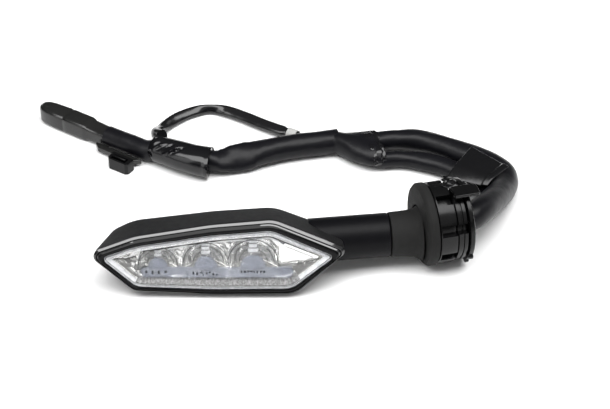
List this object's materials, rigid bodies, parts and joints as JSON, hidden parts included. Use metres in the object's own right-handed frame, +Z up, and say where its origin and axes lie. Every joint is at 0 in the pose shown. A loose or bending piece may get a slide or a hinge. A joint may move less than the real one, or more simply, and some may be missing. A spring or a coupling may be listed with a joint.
{
  "type": "turn signal indicator",
  "caption": "LED turn signal with a six-cornered clear lens, flexible rubber damper mount, retaining clip and a taped wiring harness that ends in a connector boot.",
  "frame": {"origin": "bottom centre of the lamp without its harness, on the surface that it lies on", "axes": "+X along the mounting axis, away from the lamp head; +Z up; the lens faces -Y and a little up"},
  "size_m": [0.1705, 0.1367, 0.0314],
  "materials": {
    "rubber": "matte moulded rubber",
    "steel": "plain",
    "holder_plastic": "semi-gloss moulded nylon",
    "cable_jacket": "satin PVC",
    "stalk_plastic": "satin moulded",
    "housing_plastic": "fine grained, dark grey-black",
    "gloss_bezel": "high gloss black",
    "clear_lens": "clear moulded polycarbonate",
    "seal": "cured bead",
    "chrome_coat": "vacuum metallised",
    "frosted_clear": "frosted clear polycarbonate",
    "board": "solder resist",
    "led": "phosphor window",
    "chip": "moulded package",
    "sleeve": "satin PVC sleeving",
    "tape": "glossy PVC harness tape",
    "white_tape": "cloth-backed tape",
    "brass": "bright"
  },
  "bodies": {
    "mount": {"damper_flange": "rubber", "mount_core": "steel", "holder_ring": "holder_plastic", "end_ring": "holder_plastic", "cable_grommet": "rubber", "mount_cable": "cable_jacket", "main_lead": "sleeve", "branch_lead": "sleeve", "sleeve": "sleeve", "tape_wrap": "tape", "loop_lead": "tape", "tail_tube": "sleeve", "junction_tape": "tape", "tape_flag": "tape", "white_tape": "white_tape", "connector_boot": "sleeve", "terminal_1": "brass", "terminal_2": "brass", "clip_plate": "sleeve", "clip_block": "holder_plastic"},
    "neck": {"damper_neck": "rubber"},
    "arm": {"stalk_tube": "stalk_plastic", "stalk_insert": "steel", "stalk_cable": "cable_jacket", "rear_housing": "housing_plastic", "bezel": "gloss_bezel", "outer_lens": "clear_lens", "lens_seal": "seal", "reflector": "chrome_coat", "light_guide": "frosted_clear", "led_board": "board", "led_1": "led", "led_2": "led", "led_3": "led", "board_screw_1": "steel", "board_screw_2": "steel", "driver_chip": "chip", "resistor_1": "chip", "resistor_2": "chip", "board_wire_1": "cable_jacket", "board_wire_2": "cable_jacket"},
    "clip": {"retaining_clip": "holder_plastic"},
    "tongue": {"clip_tongue": "holder_plastic"}
  },
  "joints": [
    {"name": "arm_sway", "type": "hinge", "parent": "mount", "child": "neck", "pos_m": [0.04138, -0.00672, 0.01205], "axis": [0, 0, 1], "range_deg": [-12, 12], "stiffness_Nm_per_rad": 6, "deforming": ["damper_neck"]},
    {"name": "arm_nod", "type": "hinge", "parent": "neck", "child": "arm", "pos_m": [0.04138, -0.00672, 0.01205], "axis": [0, 1, 0], "range_deg": [-12, 12], "stiffness_Nm_per_rad": 6, "deforming": ["damper_neck"]},
    {"name": "clip_slide", "type": "slide", "parent": "mount", "child": "clip", "axis": [0, -1, 0], "range_m": [0, 0.024]},
    {"name": "tongue_press", "type": "hinge", "parent": "mount", "child": "tongue", "pos_m": [-0.04814, 0.0721, 0.0016], "axis": [-0.683, 0.7305, 0], "range_deg": [-8, 8], "stiffness_Nm_per_rad": 0.02}
  ]
}
